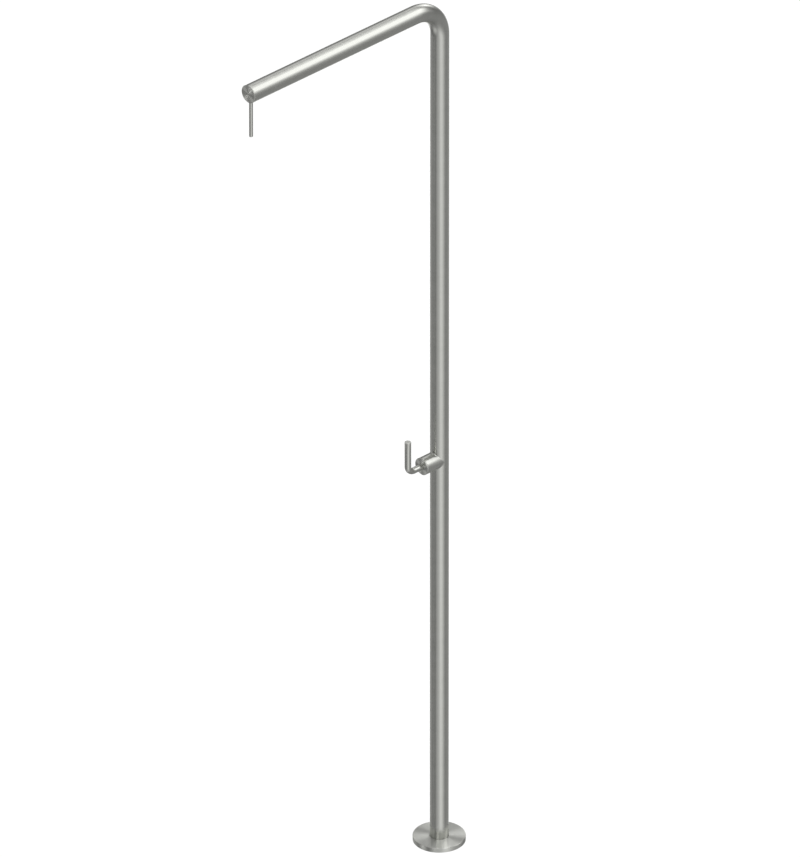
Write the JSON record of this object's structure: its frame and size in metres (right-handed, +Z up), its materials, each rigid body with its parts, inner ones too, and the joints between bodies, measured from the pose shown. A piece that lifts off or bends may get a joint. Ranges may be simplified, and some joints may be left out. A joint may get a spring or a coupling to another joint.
{
  "type": "outdoor shower post",
  "caption": "Standing round-tube outdoor shower: a post bent over into a level arm with a thin water outlet, a lever valve at hand height and a round floor flange.",
  "frame": {"origin": "on the floor, under the centre of the post, which is the centre of the floor bolts", "axes": "+Z up along the post, -Y along the arm towards the user, +X to the user's right as they face the post"},
  "size_m": [0.12, 0.642, 2.2],
  "materials": {
    "brushed_tube": "stainless steel tube, satin brushed round the tube",
    "brushed_rod": "stainless steel rod and thin tube, satin brushed",
    "turned_steel": "stainless steel, turned, with fine rings round the centre",
    "plain_steel": "stainless steel, as cut or pressed",
    "spring_steel": "spring steel, oiled",
    "brass": "machined",
    "black_rubber": "moulded",
    "hose_rubber": "braided hose, plain here",
    "black_polymer": "turned bearing polymer",
    "ceramic": "lapped ceramic"
  },
  "bodies": {
    "post": {"post_tube": "brushed_tube", "base_plate": "plain_steel", "floor_gasket": "black_rubber", "inlet_union": "brass", "union_retaining_ring": "spring_steel", "inlet_filter_washer": "black_rubber", "supply_hose": "hose_rubber", "supply_lower_washer": "black_rubber", "supply_lower_tail": "brass", "supply_lower_nut": "brass", "supply_lower_ferrule": "plain_steel", "supply_upper_tail": "brass", "supply_upper_ferrule": "plain_steel", "valve_body": "brass", "valve_sleeve": "brushed_tube", "saddle_ring": "black_polymer", "valve_cover": "turned_steel", "valve_cover_o_ring": "black_rubber", "headwork_body": "brass", "headwork_body_o_ring": "black_rubber", "headwork_seat_seal": "black_rubber", "ceramic_disc_fixed": "ceramic", "headwork_slip_ring": "black_polymer", "lever_bush": "black_polymer", "riser_hose": "hose_rubber", "riser_lower_tail": "brass", "riser_lower_ferrule": "plain_steel", "riser_upper_washer": "black_rubber", "riser_upper_tail": "brass", "riser_upper_nut": "brass", "riser_upper_ferrule": "plain_steel", "outlet_plug": "turned_steel", "outlet_plug_o_ring": "black_rubber", "outlet_tube": "brushed_rod", "outlet_tube_o_ring": "black_rubber"},
    "lever_and_spindle": {"lever": "brushed_rod", "lever_set_screw": "spring_steel", "headwork_spindle": "brass", "spindle_o_rings": "black_rubber", "spindle_circlip": "spring_steel", "ceramic_disc_rotating": "ceramic"},
    "flange_cover": {"flange_cover": "turned_steel", "flange_cover_o_ring": "black_rubber"}
  },
  "joints": [
    {"name": "lever_turn", "type": "hinge", "parent": "post", "child": "lever_and_spindle", "pos_m": [0, -0.0555, 1], "axis": [0, -1, 0], "range_deg": [0, 90]},
    {"name": "flange_cover_lift", "type": "slide", "parent": "post", "child": "flange_cover", "axis": [0, 0, 1], "range_m": [0, 0.965]}
  ]
}
